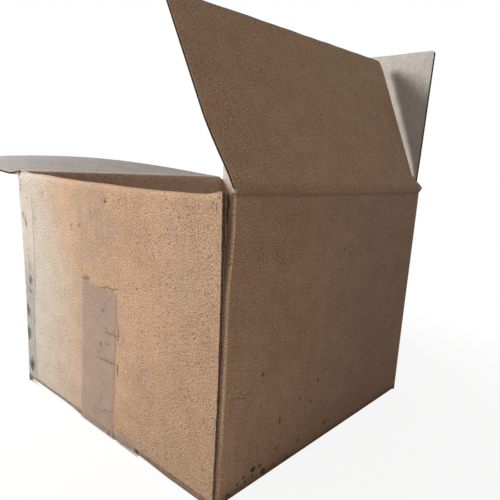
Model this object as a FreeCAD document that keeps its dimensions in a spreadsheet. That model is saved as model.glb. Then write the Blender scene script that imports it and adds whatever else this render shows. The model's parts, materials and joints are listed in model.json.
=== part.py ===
import FreeCAD, Part
import Sketcher
import math
import os

# Open cardboard box: one folded and glued sheet of corrugated board, its bottom flaps taped shut
# and its four top flaps standing open. Millimetres, Z up, origin at the centre of the base.
# The front panel faces -Y, the left panel -X.

doc = FreeCAD.newDocument("CardboardBox")
sheet = doc.addObject("Spreadsheet::Sheet", "Sizes")

SIZES = [
    ("box_length", 272, "outside, along the front panel"),
    ("box_width", 276, "outside, along the left panel"),
    ("score_height", 209, "fold line of the front and back top flaps above the ground"),
    ("flap_length", 135, "every flap, from its fold line to its free edge"),
    ("board", 3.6, "thickness of the corrugated board"),
    ("fold_inside", 0.9, "inside radius of a folded corner"),
    ("liner", 0.4, "paper on each face of the board"),
    ("medium", 0.4, "paper of the flutes"),
    ("flute_pitch", 7.9, "from one flute to the next"),
    ("flute_crest", 1.7, "narrow side of a flute channel"),
    ("flank_gap", 0.3, "how far the channels on both sides of a flank stay apart along the board"),
    ("first_flute", 1.5, "first channel from the side edge of its flap"),
    ("crush_length", 8, "board pressed solid beside a fold line"),
    ("layer_gap", 0.3, "air between boards that lie on each other"),
    ("hinge_gap", 0.15, "between a wall and the foot of its flap"),
    ("crease_play", 0.3, "extra depth of the crease on the inner side of a fold"),
    ("crown_play", 0.3, "between the rolled fold of the left flap and its wall"),
    ("slot_clear", 0.3, "side edge of a flap from the rounded fold beside it"),
    ("joint_clear", 2.3, "side edge of the front flap from the boards of the glued joint"),
    ("tab_width", 35, "glue tab that the front panel carries inside the left panel"),
    ("tab_slope", 8, "how much shorter the tab is at its free edge, at each end"),
    ("tab_end_gap", 3, "between the tab and the flaps at its ends"),
    ("groove_mouth", 0.3, "bottom of the groove between the cut edge and the fold beside it"),
    ("worn_corner", 8, "rounded corner of the front flap"),
    ("cut_corner", 2, "other corners of the flaps"),
    ("film", 0.15, "thickness of the packing tape"),
    ("tape_width", 50, "tape over the bottom seam"),
    ("tape_shift", -3, "centre line of that tape along the left panel"),
    ("tape_rise_left", 128, "end of that tape on the left panel above the ground"),
    ("tape_rise_right", 60, "end of that tape on the right panel above the ground"),
    ("second_tape_width", 26, "torn end of another tape beside it"),
    ("second_tape_rise", 13, "its end on the left panel above the ground"),
    ("second_tape_run", 70, "its length under the base"),
    ("tape_gap", 0.3, "between the two tapes"),
    ("corner_tape_width", 24, "tape over the left back corner, on each panel"),
    ("corner_tape_margin", 3, "its ends from the folds above and below it"),
    ("front_lean_degrees", 26, "front flap, inward from upright"),
    ("back_lean_degrees", 86, "back flap, outward from upright"),
]

for row, (alias, value, note) in enumerate(SIZES, start=1):
    sheet.set(f"A{row}", alias)
    sheet.set(f"B{row}", str(value))
    sheet.setAlias(f"B{row}", alias)
    sheet.set(f"C{row}", note)
doc.recompute()

# Places that several pieces share, as expressions over the sheet
BOARD = "Sizes.board"
LEFT = "(-Sizes.box_length / 2)"
RIGHT = "(Sizes.box_length / 2)"
FRONT = "(-Sizes.box_width / 2)"
BACK = "(Sizes.box_width / 2)"
TOP = "Sizes.score_height"
BEND = "(Sizes.fold_inside + Sizes.board)"
INSET = "(Sizes.fold_inside + Sizes.board + Sizes.slot_clear)"
CUT_INSET = "(Sizes.fold_inside + Sizes.board + Sizes.slot_clear / 2)"
JOINT_INSET = "(2 * Sizes.board + Sizes.joint_clear)"
JOINT_CUT = "(2 * Sizes.board + Sizes.joint_clear - Sizes.slot_clear / 2)"
CREASE = "(Sizes.board + Sizes.crease_play)"
UPPER_FLOOR = "(Sizes.board + Sizes.layer_gap)"
LOW_TOP = "(Sizes.score_height - Sizes.board - Sizes.layer_gap)"
# The left flap is folded right over: its crown spans the wall, the glue tab and the flap itself
CROWN = "(1.5 * Sizes.board)"
SEAT = "(1.5 * Sizes.board + Sizes.crown_play)"
CROWN_X = "(1.5 * Sizes.board - Sizes.box_length / 2)"
CROWN_Z = "(Sizes.score_height - 2.5 * Sizes.board - Sizes.layer_gap)"
# Cuts run this far past the board, so that no skin is left
PAST = "1"


def number(expression):
    return float(sheet.evalExpression(expression))


def new_body(name):
    body = doc.addObject("PartDesign::Body", name)
    body.Label = name
    return body


def new_sketch(body, name, role, offset="0"):
    """Sketch on one of the body's own planes, moved along the plane's normal by offset."""
    sketch = body.newObject("Sketcher::SketchObject", name)
    support = [plane for plane in body.Origin.OriginFeatures if plane.Role == role]
    sketch.AttachmentSupport = [(support[0], "")]
    sketch.MapMode = "FlatFace"
    sketch.setExpression("AttachmentOffset.Base.z", offset)
    return sketch


def arc_between(start, end, radius, turn):
    """Short arc from start to end that turns left for turn 1 and right for turn -1."""
    chord = end - start
    reach = math.sqrt(radius ** 2 - (chord.Length / 2) ** 2)
    side = FreeCAD.Vector(-chord.y, chord.x, 0).normalize()
    centre = (start + end) / 2 + side * reach * turn
    first, last = (start, end) if turn > 0 else (end, start)
    first_angle = math.atan2(first.y - centre.y, first.x - centre.x)
    last_angle = math.atan2(last.y - centre.y, last.x - centre.x)
    circle = Part.Circle(centre, FreeCAD.Vector(0, 0, 1), radius)
    return Part.ArcOfCircle(circle, first_angle, last_angle)


def draw_loop(sketch, corners):
    """Closed outline. A corner is (x, y), or (x, y, radius, turn) where an arc leaves it."""
    places = [FreeCAD.Vector(number(corner[0]), number(corner[1]), 0) for corner in corners]
    ends = []
    for index, corner in enumerate(corners):
        start = places[index]
        end = places[(index + 1) % len(corners)]
        if len(corner) == 2:
            edge = sketch.addGeometry(Part.LineSegment(start, end))
            ends.append((edge, 1, 2))
        else:
            radius, turn = corner[2], corner[3]
            edge = sketch.addGeometry(arc_between(start, end, number(radius), turn))
            limit = sketch.addConstraint(Sketcher.Constraint("Radius", edge, number(radius)))
            sketch.setExpression(f"Constraints[{limit}]", radius)
            ends.append((edge, 1, 2) if turn > 0 else (edge, 2, 1))
    for index, corner in enumerate(corners):
        edge, start, _ = ends[index]
        before, _, end = ends[index - 1]
        sketch.addConstraint(Sketcher.Constraint("Coincident", before, end, edge, start))
        for kind, expression in (("DistanceX", corner[0]), ("DistanceY", corner[1])):
            place = Sketcher.Constraint(kind, -1, 1, edge, start, number(expression))
            limit = sketch.addConstraint(place)
            sketch.setExpression(f"Constraints[{limit}]", expression)


def draw_box(sketch, low_x, low_y, high_x, high_y):
    draw_loop(sketch, [(low_x, low_y), (high_x, low_y), (high_x, high_y), (low_x, high_y)])


def pad(body, name, sketch, length, symmetric=False, reverse=False):
    feature = body.newObject("PartDesign::Pad", name)
    feature.Profile = sketch
    feature.SideType = "Symmetric" if symmetric else "One side"
    feature.Reversed = reverse
    feature.setExpression("Length", length)
    doc.recompute()
    return feature


def pocket(body, name, sketch, length, symmetric=False, reverse=False):
    """Cut along the sketch's normal (reverse) or against it, checked to take something away."""
    before = body.Shape.Volume
    feature = body.newObject("PartDesign::Pocket", name)
    feature.Profile = sketch
    feature.Type = "Length"
    feature.SideType = "Symmetric" if symmetric else "One side"
    feature.Reversed = reverse
    feature.setExpression("Length", length)
    doc.recompute()
    if body.Shape.Volume >= before:
        raise ValueError(f"{name} cuts nothing")
    return feature


def wall_outline():
    """Outside of the folded sheet seen from above, from the cut edge of the left panel round."""
    groove_y = f"{FRONT} + {BEND} - sqrt({BEND} ^ 2 - ({BEND} - Sizes.groove_mouth) ^ 2)"
    return [
        (LEFT, FRONT),
        (f"{LEFT} + {BOARD}", FRONT),
        (f"{LEFT} + {BOARD}", groove_y),
        (f"{LEFT} + {BOARD} + Sizes.groove_mouth", groove_y, BEND, 1),
        (f"{LEFT} + {BOARD} + {BEND}", FRONT),
        (f"{RIGHT} - {BEND}", FRONT, BEND, 1),
        (RIGHT, f"{FRONT} + {BEND}"),
        (RIGHT, f"{BACK} - {BEND}", BEND, 1),
        (f"{RIGHT} - {BEND}", BACK),
        (f"{LEFT} + {BEND}", BACK, BEND, 1),
        (LEFT, f"{BACK} - {BEND}"),
    ]


def wall_hollow():
    """Inside of the walls, with the glue tab along the left panel."""
    inner = "Sizes.fold_inside"
    left = f"{LEFT} + {BOARD}"
    right = f"{RIGHT} - {BOARD}"
    front = f"{FRONT} + {BOARD}"
    back = f"{BACK} - {BOARD}"
    tab = f"{LEFT} + 2 * {BOARD}"
    tab_end = f"{front} + Sizes.tab_width"
    return [
        (f"{tab} + {inner}", front),
        (f"{right} - {inner}", front, inner, 1),
        (right, f"{front} + {inner}"),
        (right, f"{back} - {inner}", inner, 1),
        (f"{right} - {inner}", back),
        (f"{left} + {inner}", back, inner, 1),
        (left, f"{back} - {inner}"),
        (left, tab_end),
        (tab, tab_end),
        (tab, f"{front} + {inner}", inner, 1),
    ]


def cut_tab_ends(body):
    """The tab stops short of the flaps at both ends and is narrower at its free edge."""
    inner_face = f"{LEFT} + {BOARD}"
    past_tab = f"{FRONT} + {BOARD} + Sizes.tab_width + {PAST}"
    root = f"{FRONT} + {CUT_INSET}"
    top = f"{CROWN_Z} - {SEAT} - Sizes.tab_end_gap"
    bottom = f"{UPPER_FLOOR} + {BOARD} + Sizes.tab_end_gap"
    sketch = new_sketch(body, "tab_ends", "YZ_Plane", inner_face)
    draw_loop(sketch, [
        (root, top),
        (past_tab, f"{top} - Sizes.tab_slope"),
        (past_tab, f"{TOP} + {PAST}"),
        (root, f"{TOP} + {PAST}"),
    ])
    draw_loop(sketch, [
        (root, f"-{PAST}"),
        (past_tab, f"-{PAST}"),
        (past_tab, f"{bottom} + Sizes.tab_slope"),
        (root, bottom),
    ])
    pocket(body, "tab_end_cuts", sketch, f"{BOARD} + Sizes.fold_inside", reverse=True)


def add_bottom_flaps(body):
    """Left and right bottom flaps lie inside, front and back ones under them, with a seam along X."""
    reach = "Sizes.flap_length"
    lower = new_sketch(body, "front_back_bottom_flaps", "XY_Plane")
    low_x, high_x = f"{LEFT} + {INSET}", f"{RIGHT} - {INSET}"
    draw_box(lower, low_x, f"{FRONT} + {BOARD} / 2", high_x, f"{FRONT} + {reach}")
    draw_box(lower, low_x, f"{BACK} - {reach}", high_x, f"{BACK} - {BOARD} / 2")
    pad(body, "lower_floor", lower, BOARD)
    upper = new_sketch(body, "left_right_bottom_flaps", "XY_Plane", UPPER_FLOOR)
    low_y, high_y = f"{FRONT} + {INSET}", f"{BACK} - {INSET}"
    draw_box(upper, f"{LEFT} + {BOARD} / 2", low_y, f"{LEFT} + {reach}", high_y)
    draw_box(upper, f"{RIGHT} - {reach}", low_y, f"{RIGHT} - {BOARD} / 2", high_y)
    pad(body, "upper_floor", upper, BOARD)


def round_bottom_folds(body):
    """Slots at the bottom corners and the rounded outside of the bottom folds."""
    slots = new_sketch(body, "bottom_slots", "XZ_Plane")
    draw_box(slots, f"{LEFT} - {PAST}", f"-{PAST}", f"{LEFT} + {INSET}", UPPER_FLOOR)
    draw_box(slots, f"{RIGHT} - {INSET}", f"-{PAST}", f"{RIGHT} + {PAST}", UPPER_FLOOR)
    pocket(body, "bottom_slot_cuts", slots, f"Sizes.box_width + 2 * {PAST}", symmetric=True)
    sides = new_sketch(body, "left_right_bottom_folds", "XZ_Plane")
    draw_loop(sides, [
        (LEFT, f"{UPPER_FLOOR} + {BEND}", BEND, 1),
        (f"{LEFT} + {BEND}", UPPER_FLOOR),
        (f"{LEFT} - {PAST}", UPPER_FLOOR),
        (f"{LEFT} - {PAST}", f"{UPPER_FLOOR} + {BEND}"),
    ])
    draw_loop(sides, [
        (f"{RIGHT} - {BEND}", UPPER_FLOOR, BEND, 1),
        (RIGHT, f"{UPPER_FLOOR} + {BEND}"),
        (f"{RIGHT} + {PAST}", f"{UPPER_FLOOR} + {BEND}"),
        (f"{RIGHT} + {PAST}", UPPER_FLOOR),
    ])
    pocket(body, "side_fold_rounding", sides, f"Sizes.box_width + 2 * {PAST}", symmetric=True)
    ends = new_sketch(body, "front_back_bottom_folds", "YZ_Plane")
    draw_loop(ends, [
        (FRONT, BEND, BEND, 1),
        (f"{FRONT} + {BEND}", "0"),
        (f"{FRONT} - {PAST}", "0"),
        (f"{FRONT} - {PAST}", BEND),
    ])
    draw_loop(ends, [
        (f"{BACK} - {BEND}", "0", BEND, 1),
        (BACK, BEND),
        (f"{BACK} + {PAST}", BEND),
        (f"{BACK} + {PAST}", "0"),
    ])
    pocket(body, "end_fold_rounding", ends, f"Sizes.box_length + 2 * {PAST}", symmetric=True)


def cut_wall_tops(body):
    """Creases along the tops of the walls, where the flaps fold."""
    above = f"{TOP} + {PAST}"
    side_span = f"Sizes.box_width - 2 * {CUT_INSET}"
    # The right wall is lower by one board, so that its flap closes under the front and back ones
    right = new_sketch(body, "right_crease", "XZ_Plane")
    draw_loop(right, [
        (RIGHT, LOW_TOP),
        (f"{RIGHT} + {PAST}", LOW_TOP),
        (f"{RIGHT} + {PAST}", above),
        (f"{RIGHT} - {BOARD} - {PAST}", above),
        (f"{RIGHT} - {BOARD} - {PAST}", f"{LOW_TOP} - {CREASE}"),
        (f"{RIGHT} - {BOARD}", f"{LOW_TOP} - {CREASE}"),
    ])
    pocket(body, "right_crease_cut", right, side_span, symmetric=True)
    # Round seat of the left flap's crown
    seat_low = f"{CROWN_Z} - sqrt({SEAT} ^ 2 - {CROWN} ^ 2)"
    left = new_sketch(body, "left_seat", "XZ_Plane")
    draw_loop(left, [
        (f"{LEFT} - {PAST}", seat_low),
        (LEFT, seat_low, SEAT, 1),
        (CROWN_X, f"{CROWN_Z} - {SEAT}", SEAT, 1),
        (f"{CROWN_X} + {SEAT}", CROWN_Z),
        (f"{CROWN_X} + {SEAT}", above),
        (f"{LEFT} - {PAST}", above),
    ])
    pocket(body, "left_seat_cut", left, side_span, symmetric=True)
    # The front crease starts clear of the glued joint, so it is not centred
    front = new_sketch(body, "front_crease", "YZ_Plane", f"{LEFT} + {JOINT_CUT}")
    draw_loop(front, [
        (FRONT, TOP),
        (f"{FRONT} + {BOARD}", f"{TOP} - {CREASE}"),
        (f"{FRONT} + {BOARD} + {PAST}", f"{TOP} - {CREASE}"),
        (f"{FRONT} + {BOARD} + {PAST}", above),
        (FRONT, above),
    ])
    front_span = f"Sizes.box_length - {JOINT_CUT} - {CUT_INSET}"
    pocket(body, "front_crease_cut", front, front_span, reverse=True)
    back = new_sketch(body, "back_crease", "YZ_Plane")
    draw_loop(back, [
        (BACK, TOP),
        (BACK, above),
        (f"{BACK} - {BOARD} - {PAST}", above),
        (f"{BACK} - {BOARD} - {PAST}", f"{TOP} - {CREASE}"),
        (f"{BACK} - {BOARD}", f"{TOP} - {CREASE}"),
    ])
    pocket(body, "back_crease_cut", back, f"Sizes.box_length - 2 * {CUT_INSET}", symmetric=True)


def seam_tape_loop():
    """Tape along the bottom seam, up the left and right panels, seen along Y."""
    film = "Sizes.film"
    inner_bend = f"{INSET} - {film}"
    return [
        (LEFT, "Sizes.tape_rise_left"),
        (LEFT, INSET, INSET, 1),
        (f"{LEFT} + {INSET}", "0"),
        (f"{RIGHT} - {INSET}", "0", INSET, 1),
        (RIGHT, INSET),
        (RIGHT, "Sizes.tape_rise_right"),
        (f"{RIGHT} - {film}", "Sizes.tape_rise_right"),
        (f"{RIGHT} - {film}", INSET, inner_bend, -1),
        (f"{RIGHT} - {INSET}", film),
        (f"{LEFT} + {INSET}", film, inner_bend, -1),
        (f"{LEFT} + {film}", INSET),
        (f"{LEFT} + {film}", "Sizes.tape_rise_left"),
    ]


def second_tape_loop():
    """Torn end of another tape, round the bottom edge of the left panel, seen along Y."""
    film = "Sizes.film"
    end = f"{LEFT} + {INSET} + Sizes.second_tape_run"
    return [
        (LEFT, "Sizes.second_tape_rise"),
        (LEFT, INSET, INSET, 1),
        (f"{LEFT} + {INSET}", "0"),
        (end, "0"),
        (end, film),
        (f"{LEFT} + {INSET}", film, f"{INSET} - {film}", -1),
        (f"{LEFT} + {film}", INSET),
        (f"{LEFT} + {film}", "Sizes.second_tape_rise"),
    ]


def corner_tape_loop():
    """Tape over the left back corner, seen from above."""
    film = "Sizes.film"
    width = "Sizes.corner_tape_width"
    return [
        (LEFT, f"{BACK} - {width}"),
        (f"{LEFT} + {film}", f"{BACK} - {width}"),
        (f"{LEFT} + {film}", f"{BACK} - {BEND}", f"{BEND} - {film}", -1),
        (f"{LEFT} + {BEND}", f"{BACK} - {film}"),
        (f"{LEFT} + {width}", f"{BACK} - {film}"),
        (f"{LEFT} + {width}", BACK),
        (f"{LEFT} + {BEND}", BACK, BEND, 1),
        (LEFT, f"{BACK} - {BEND}"),
    ]


# Each tape lies in a bed of its own thickness, pressed into the board, so one entry makes both:
# outline, plane, start along the plane's normal, length and whether it grows to both sides
SECOND_TAPE_Y = (
    "(Sizes.tape_shift - Sizes.tape_width / 2 - Sizes.tape_gap - Sizes.second_tape_width / 2)"
)
CORNER_TAPE_LOW = f"({UPPER_FLOOR} + {BEND} + Sizes.corner_tape_margin)"
CORNER_TAPE_HIGH = f"({CROWN_Z} - {CROWN} - Sizes.corner_tape_margin)"
TAPES = {
    "bottom_tape": (seam_tape_loop, "XZ_Plane", "-Sizes.tape_shift", "Sizes.tape_width", True),
    "second_tape": (
        second_tape_loop, "XZ_Plane", f"-{SECOND_TAPE_Y}", "Sizes.second_tape_width", True
    ),
    "corner_tape": (
        corner_tape_loop, "XY_Plane", CORNER_TAPE_LOW,
        f"{CORNER_TAPE_HIGH} - {CORNER_TAPE_LOW}", False
    ),
}


def cut_tape_beds(body):
    for name, (outline, role, start, length, symmetric) in TAPES.items():
        sketch = new_sketch(body, f"{name}_bed", role, start)
        draw_loop(sketch, outline())
        pocket(body, f"{name}_bed_cut", sketch, length, symmetric, reverse=not symmetric)


def make_tape(name):
    outline, role, start, length, symmetric = TAPES[name]
    body = new_body(name)
    sketch = new_sketch(body, f"{name}_outline", role, start)
    draw_loop(sketch, outline())
    pad(body, f"{name}_film", sketch, length, symmetric)
    return body


def make_box_body():
    body = new_body("box_body")
    walls = new_sketch(body, "wall_section", "XY_Plane")
    draw_loop(walls, wall_outline())
    draw_loop(walls, wall_hollow())
    pad(body, "walls", walls, TOP)
    cut_tab_ends(body)
    add_bottom_flaps(body)
    round_bottom_folds(body)
    cut_wall_tops(body)
    cut_tape_beds(body)
    return body


def cut_flutes(body, name, low_x, high_x, inner_face, start, length, reverse):
    """Channels between the liners and the wavy middle paper, open at the free edge.

    inner_face is the flap's low side across the board. The channels run from start along Z.
    """
    wide = "((Sizes.flute_pitch - Sizes.flute_crest - Sizes.flank_gap) / 2)"
    narrow = "(Sizes.flute_crest / 2)"
    first = f"({low_x} + Sizes.first_flute)"
    second = f"({low_x} + Sizes.first_flute + Sizes.flute_pitch / 2)"
    low = f"({inner_face} + Sizes.liner)"
    high = f"({inner_face} + {BOARD} - Sizes.liner)"
    # Sketch coordinates are X and Y of the flap, on a plane at the start of the channels
    sketch = new_sketch(body, f"{name}_flutes", "XY_Plane", start)
    draw_loop(sketch, [
        (f"{first} - {wide}", low),
        (f"{first} + {wide}", low),
        (f"{first} + {narrow}", f"{high} - Sizes.medium"),
        (f"{first} - {narrow}", f"{high} - Sizes.medium"),
    ])
    draw_loop(sketch, [
        (f"{second} - {narrow}", f"{low} + Sizes.medium"),
        (f"{second} + {narrow}", f"{low} + Sizes.medium"),
        (f"{second} + {wide}", high),
        (f"{second} - {wide}", high),
    ])
    channels = pocket(body, f"{name}_channels", sketch, length, reverse=reverse)
    row = body.newObject("PartDesign::LinearPattern", f"{name}_channel_row")
    row.Originals = [channels]
    row.Direction = (sketch, ["H_Axis"])
    row.Mode = "Spacing"
    row.setExpression("Offset", "Sizes.flute_pitch")
    row.setExpression("Occurrences", f"floor(({high_x} - {low_x}) / Sizes.flute_pitch)")
    body.Tip = row
    doc.recompute()


def make_flap(name, low_x, high_x, corner_radii, place):
    """Flap in its own frame: fold line along X, board from Y 0 inward, free edge up."""
    body = new_body(name)
    low_corner, high_corner = corner_radii
    length = "Sizes.flap_length"
    outline = new_sketch(body, f"{name}_outline", "XZ_Plane")
    draw_loop(outline, [
        (low_x, "Sizes.hinge_gap"),
        (high_x, "Sizes.hinge_gap"),
        (high_x, f"{length} - {high_corner}", high_corner, 1),
        (f"{high_x} - {high_corner}", length),
        (f"{low_x} + {low_corner}", length, low_corner, 1),
        (low_x, f"{length} - {low_corner}"),
    ])
    pad(body, f"{name}_board", outline, BOARD, reverse=True)
    crease = new_sketch(body, f"{name}_crease", "YZ_Plane", low_x)
    draw_loop(crease, [
        ("0", "Sizes.hinge_gap"),
        ("0", f"-{PAST}"),
        (f"{BOARD} + {PAST}", f"-{PAST}"),
        (f"{BOARD} + {PAST}", f"Sizes.hinge_gap + {CREASE}"),
        (BOARD, f"Sizes.hinge_gap + {CREASE}"),
    ])
    pocket(body, f"{name}_crease_cut", crease, f"{high_x} - {low_x}", reverse=True)
    cut_flutes(body, name, low_x, high_x, "0", "Sizes.crush_length", length, True)
    body.setExpression("Placement", place)
    doc.recompute()
    return body


def make_left_flap():
    """The left flap is folded over into the box: a rolled crown over the wall, then the board.

    Its frame has the crown's axis along X and the board hanging down on the +Y side.
    """
    name = "left_flap"
    body = new_body(name)
    face = f"({CROWN} - {BOARD})"
    hang = f"(Sizes.flap_length - {CROWN})"
    # The crown's end stops on the line where the seat meets the outer face of the wall
    drop = f"sqrt({SEAT} ^ 2 - {CROWN} ^ 2)"
    half_span = f"(Sizes.box_width / 2 - {INSET})"
    section = new_sketch(body, "left_flap_section", "YZ_Plane")
    draw_loop(section, [
        (face, f"-{hang}"),
        (CROWN, f"-{hang}"),
        (CROWN, "0", CROWN, 1),
        ("0", CROWN, CROWN, 1),
        (f"-{CROWN}", "0", CROWN, 1),
        (f"-sqrt({CROWN} ^ 2 - ({drop} - Sizes.hinge_gap) ^ 2)", f"-({drop} - Sizes.hinge_gap)"),
        (f"-{face}", "0", face, -1),
        ("0", face, face, -1),
        (face, "0"),
    ])
    pad(body, "left_flap_board", section, f"2 * {half_span}", symmetric=True)
    low_x, high_x = f"(-{half_span})", half_span
    cut_flutes(body, name, low_x, high_x, face, "-Sizes.crush_length", hang, False)
    body.setExpression(
        "Placement", f"placement(vector({CROWN_X}; 0; {CROWN_Z}); rotationz(-90))"
    )
    doc.recompute()
    return body


def check_model(pieces):
    for item in doc.Objects:
        if "Invalid" in item.State or "Error" in item.State:
            raise ValueError(f"{item.Name} failed: {item.State}")
    for piece in pieces:
        shape = piece.Shape
        if shape.isNull() or not shape.isValid() or len(shape.Solids) != 1:
            raise ValueError(f"{piece.Label} is not one valid solid")


half_length, half_width = "(Sizes.box_length / 2)", "(Sizes.box_width / 2)"
pieces = [
    make_box_body(),
    make_flap(
        "front_flap", f"({JOINT_INSET} - {half_length})", f"({half_length} - {INSET})",
        ("Sizes.cut_corner", "Sizes.worn_corner"),
        f"placement(vector(0; {FRONT}; {TOP}); rotationx(-Sizes.front_lean_degrees))",
    ),
    make_flap(
        "right_flap", f"({INSET} - {half_width})", f"({half_width} - {INSET})",
        ("Sizes.cut_corner", "Sizes.cut_corner"),
        f"placement(vector({RIGHT}; 0; {LOW_TOP}); rotationz(90))",
    ),
    make_flap(
        "back_flap", f"({INSET} - {half_length})", f"({half_length} - {INSET})",
        ("Sizes.cut_corner", "Sizes.cut_corner"),
        f"placement(vector(0; {BACK}; {TOP}); rotationz(180) * rotationx(Sizes.back_lean_degrees))",
    ),
    make_left_flap(),
    make_tape("bottom_tape"),
    make_tape("second_tape"),
    make_tape("corner_tape"),
]
doc.recompute()
check_model(pieces)

os.makedirs("parts", exist_ok=True)
for piece in pieces:
    piece.Shape.exportStep(f"parts/{piece.Label}.step")
    print(piece.Label, round(piece.Shape.Volume, 1), piece.Shape.BoundBox)
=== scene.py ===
"""Looks of an open cardboard box: worn corrugated board, its four top flaps and its tapes.

Everything is in metres, Z up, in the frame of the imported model. The front panel faces -Y and the
left panel -X. Each point of the board also carries its place on the unfolded sheet, the run along
the walls and the height up them, and the paper's marks are placed there.
"""

import json
import math

import bmesh
import bpy
import numpy as np
from mathutils import Matrix, Vector


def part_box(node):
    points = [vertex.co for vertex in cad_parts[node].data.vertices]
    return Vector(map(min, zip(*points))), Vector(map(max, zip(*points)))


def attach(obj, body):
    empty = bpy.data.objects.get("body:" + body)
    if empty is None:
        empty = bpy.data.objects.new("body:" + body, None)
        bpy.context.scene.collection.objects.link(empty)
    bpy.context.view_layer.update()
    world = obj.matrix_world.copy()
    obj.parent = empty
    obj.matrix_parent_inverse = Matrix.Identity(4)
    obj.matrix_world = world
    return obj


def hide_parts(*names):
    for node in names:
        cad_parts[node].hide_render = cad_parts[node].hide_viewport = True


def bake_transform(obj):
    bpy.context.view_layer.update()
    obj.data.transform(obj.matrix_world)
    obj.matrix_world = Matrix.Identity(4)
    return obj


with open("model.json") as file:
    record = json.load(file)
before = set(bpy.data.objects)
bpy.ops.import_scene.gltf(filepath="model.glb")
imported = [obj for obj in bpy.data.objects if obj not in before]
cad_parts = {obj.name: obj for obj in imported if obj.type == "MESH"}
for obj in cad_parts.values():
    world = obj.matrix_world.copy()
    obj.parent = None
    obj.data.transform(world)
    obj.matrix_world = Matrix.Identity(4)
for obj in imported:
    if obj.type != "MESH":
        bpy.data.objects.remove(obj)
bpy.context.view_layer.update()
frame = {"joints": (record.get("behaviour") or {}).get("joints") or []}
JOINTS = {joint["name"]: joint for joint in frame["joints"]}

# Places of the walls, from the frame
BODY_LOW, BODY_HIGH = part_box("box_body")
LEFT, FRONT = BODY_LOW.x, BODY_LOW.y
RIGHT, BACK, FOLD = BODY_HIGH.x, BODY_HIGH.y, BODY_HIGH.z
SIDE_FOLD = JOINTS["right_fold"]["pos_m"][2]
CROWN_X, _, CROWN_Z = JOINTS["left_fold"]["pos_m"]
TAPE_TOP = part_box("bottom_tape")[1].z
CORNER_TAPE_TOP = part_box("corner_tape")[1].z

MM = 0.001
LENGTH, WIDTH = RIGHT - LEFT, BACK - FRONT

# Board: its thickness, its two papers and the pitch of its flutes
BOARD = 0.0036
LINER = 0.0004
MEDIUM = 0.0003
PITCH = 0.0079

# The cut and folded sheet
BEND = 0.0045
SLOT = 0.0048
JOINT_SLOT = 0.0095
FLAP_LENGTH = 0.135
TAB_WIDTH = 0.035
UPPER_FLOOR = 0.0039
CROWN = 1.5 * BOARD
RAW_EDGE = 0.0035

# Mesh steps
STEP = 0.003
EDGE_STEP = 0.0001

# Half of the band that bends at each fold
STRIP = 0.004

# How the flaps stand, in degrees from upright
FRONT_LEAN = 26
BACK_LEAN = 86

# The three finishes of every board piece: outer paper, inner paper and cut edges
OUTER, INNER, CUT = 0, 1, 2


def smooth(value, low, high):
    """0 below low, 1 above high and a smooth step between."""
    share = np.clip((value - low) / (high - low), 0.0, 1.0)
    return share * share * (3 - 2 * share)


def hump(value, middle, width):
    """1 at the middle, falling to 0 on both sides."""
    return np.exp(-(((value - middle) / width) ** 2))


def waves(first, second, size, seed):
    """Gentle repeatable unevenness between about -1 and 1, over two directions in metres."""
    random = np.random.default_rng(seed)
    total = np.zeros(np.broadcast(first, second).shape)
    for _ in range(6):
        angle, phase = random.uniform(0, 2 * math.pi, 2)
        turn = 2 * math.pi / (size * random.uniform(0.6, 1.6))
        total += np.sin(turn * (first * math.cos(angle) + second * math.sin(angle)) + phase)
    return total / 3


def stack(*parts):
    """Points from their coordinates, each an array or one number."""
    return np.stack(np.broadcast_arrays(*parts), -1)


class Board:
    """Collects closed sheets and turns them into one object."""

    def __init__(self):
        self.points, self.flat = [], []
        self.faces, self.finish = [], []
        self.count = 0

    def add(self, outer, inner, flat, finishes=(OUTER, INNER, CUT)):
        """Sheet between two grids of points; flat is where the outer one lies unfolded."""
        rows, columns = outer.shape[:2]
        size = rows * columns
        index = np.arange(size).reshape(rows, columns) + self.count
        self.faces += [quads(index), quads(index + size)[:, ::-1]]
        self.finish += [np.full(len(quads(index)), finish) for finish in finishes[:2]]
        top = np.concatenate([index[0, :-1], index[:-1, -1], index[-1, :0:-1], index[:0:-1, 0]])
        low = top + size
        self.faces.append(np.stack([top, low, np.roll(low, -1), np.roll(top, -1)], -1))
        self.finish.append(np.full(len(top), finishes[2]))
        self.points += [outer.reshape(-1, 3), inner.reshape(-1, 3)]
        self.flat += [flat.reshape(-1, 3), flat.reshape(-1, 3) + np.array([0, 0, BOARD])]
        self.count += 2 * size

    def build(self, name, materials, sharp=35):
        mesh = bpy.data.meshes.new(name)
        points = np.concatenate(self.points)
        mesh.from_pydata(points.tolist(), [], np.concatenate(self.faces).tolist())
        mesh.polygons.foreach_set("material_index", np.concatenate(self.finish).astype(np.int32))
        for material in materials:
            mesh.materials.append(material)
        flat = mesh.attributes.new("flat", "FLOAT_VECTOR", "POINT")
        flat.data.foreach_set("vector", np.concatenate(self.flat).astype(np.float32).ravel())
        face_outward(mesh)
        mesh.shade_smooth()
        mesh.set_sharp_from_angle(angle=math.radians(sharp))
        piece = bpy.data.objects.new(name, mesh)
        bpy.context.scene.collection.objects.link(piece)
        return piece


def quads(index):
    """Faces of a grid of point numbers."""
    return np.stack([index[:-1, :-1], index[:-1, 1:], index[1:, 1:], index[1:, :-1]], -1).reshape(-1, 4)


def face_outward(mesh):
    shape = bmesh.new()
    shape.from_mesh(mesh)
    bmesh.ops.recalc_face_normals(shape, faces=shape.faces)
    shape.to_mesh(mesh)
    shape.free()


# Walls


def columns(start, end, first, last):
    """Places along a panel, with a close pair where the slot at each end begins."""
    count = int(round((last - first) / STEP))
    middle = np.linspace(first + EDGE_STEP, last - EDGE_STEP, count)
    return np.concatenate([[start, first - EDGE_STEP], middle, [last + EDGE_STEP, end]])


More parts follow.
